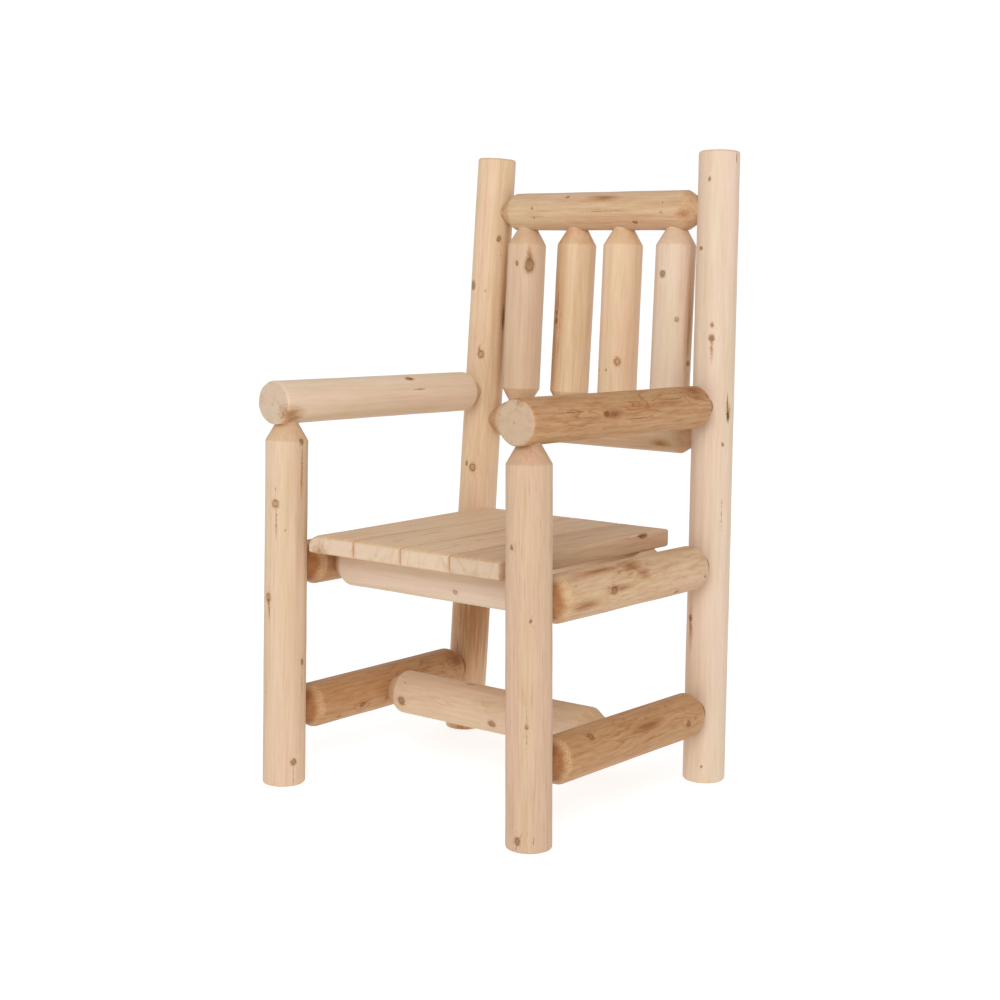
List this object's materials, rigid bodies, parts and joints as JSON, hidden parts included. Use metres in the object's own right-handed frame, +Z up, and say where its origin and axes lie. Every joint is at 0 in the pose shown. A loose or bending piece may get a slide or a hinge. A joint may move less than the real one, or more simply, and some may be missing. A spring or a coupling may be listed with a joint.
{
  "type": "log dining chair",
  "caption": "Rustic armchair of peeled cedar logs with round mortise and tenon joints, an upright spindle back and a flat seat of thick boards, for indoor or outdoor dining.",
  "frame": {"origin": "on the floor, under the middle of the chair's outer box", "axes": "+Z up, -Y the way the chair faces, +X to the right for someone who looks at its front"},
  "size_m": [0.6363, 0.6304, 1.1187],
  "materials": {
    "cedar_logs": "peeled and sanded, clear matt",
    "brown_cedar_logs": "peeled and sanded, clear matt",
    "cedar_boards": "planed and sanded, clear matt",
    "screws": "zinc plated"
  },
  "bodies": {
    "root": {"front_left_leg": "cedar_logs", "front_right_leg": "cedar_logs", "rear_left_post": "cedar_logs", "rear_right_post": "cedar_logs", "crest_rail": "cedar_logs", "lower_back_rail": "cedar_logs", "back_spindle_1": "cedar_logs", "back_spindle_2": "cedar_logs", "back_spindle_3": "cedar_logs", "back_spindle_4": "cedar_logs", "left_armrest": "cedar_logs", "front_seat_rail": "cedar_logs", "rear_seat_rail": "cedar_logs", "right_armrest": "brown_cedar_logs", "left_seat_rail": "brown_cedar_logs", "right_seat_rail": "brown_cedar_logs", "left_stretcher": "brown_cedar_logs", "right_stretcher": "brown_cedar_logs", "cross_stretcher": "brown_cedar_logs", "seat_board_1": "cedar_boards", "seat_board_2": "cedar_boards", "seat_board_3": "cedar_boards", "seat_board_4": "cedar_boards", "seat_screws": "screws"}
  },
  "joints": []
}
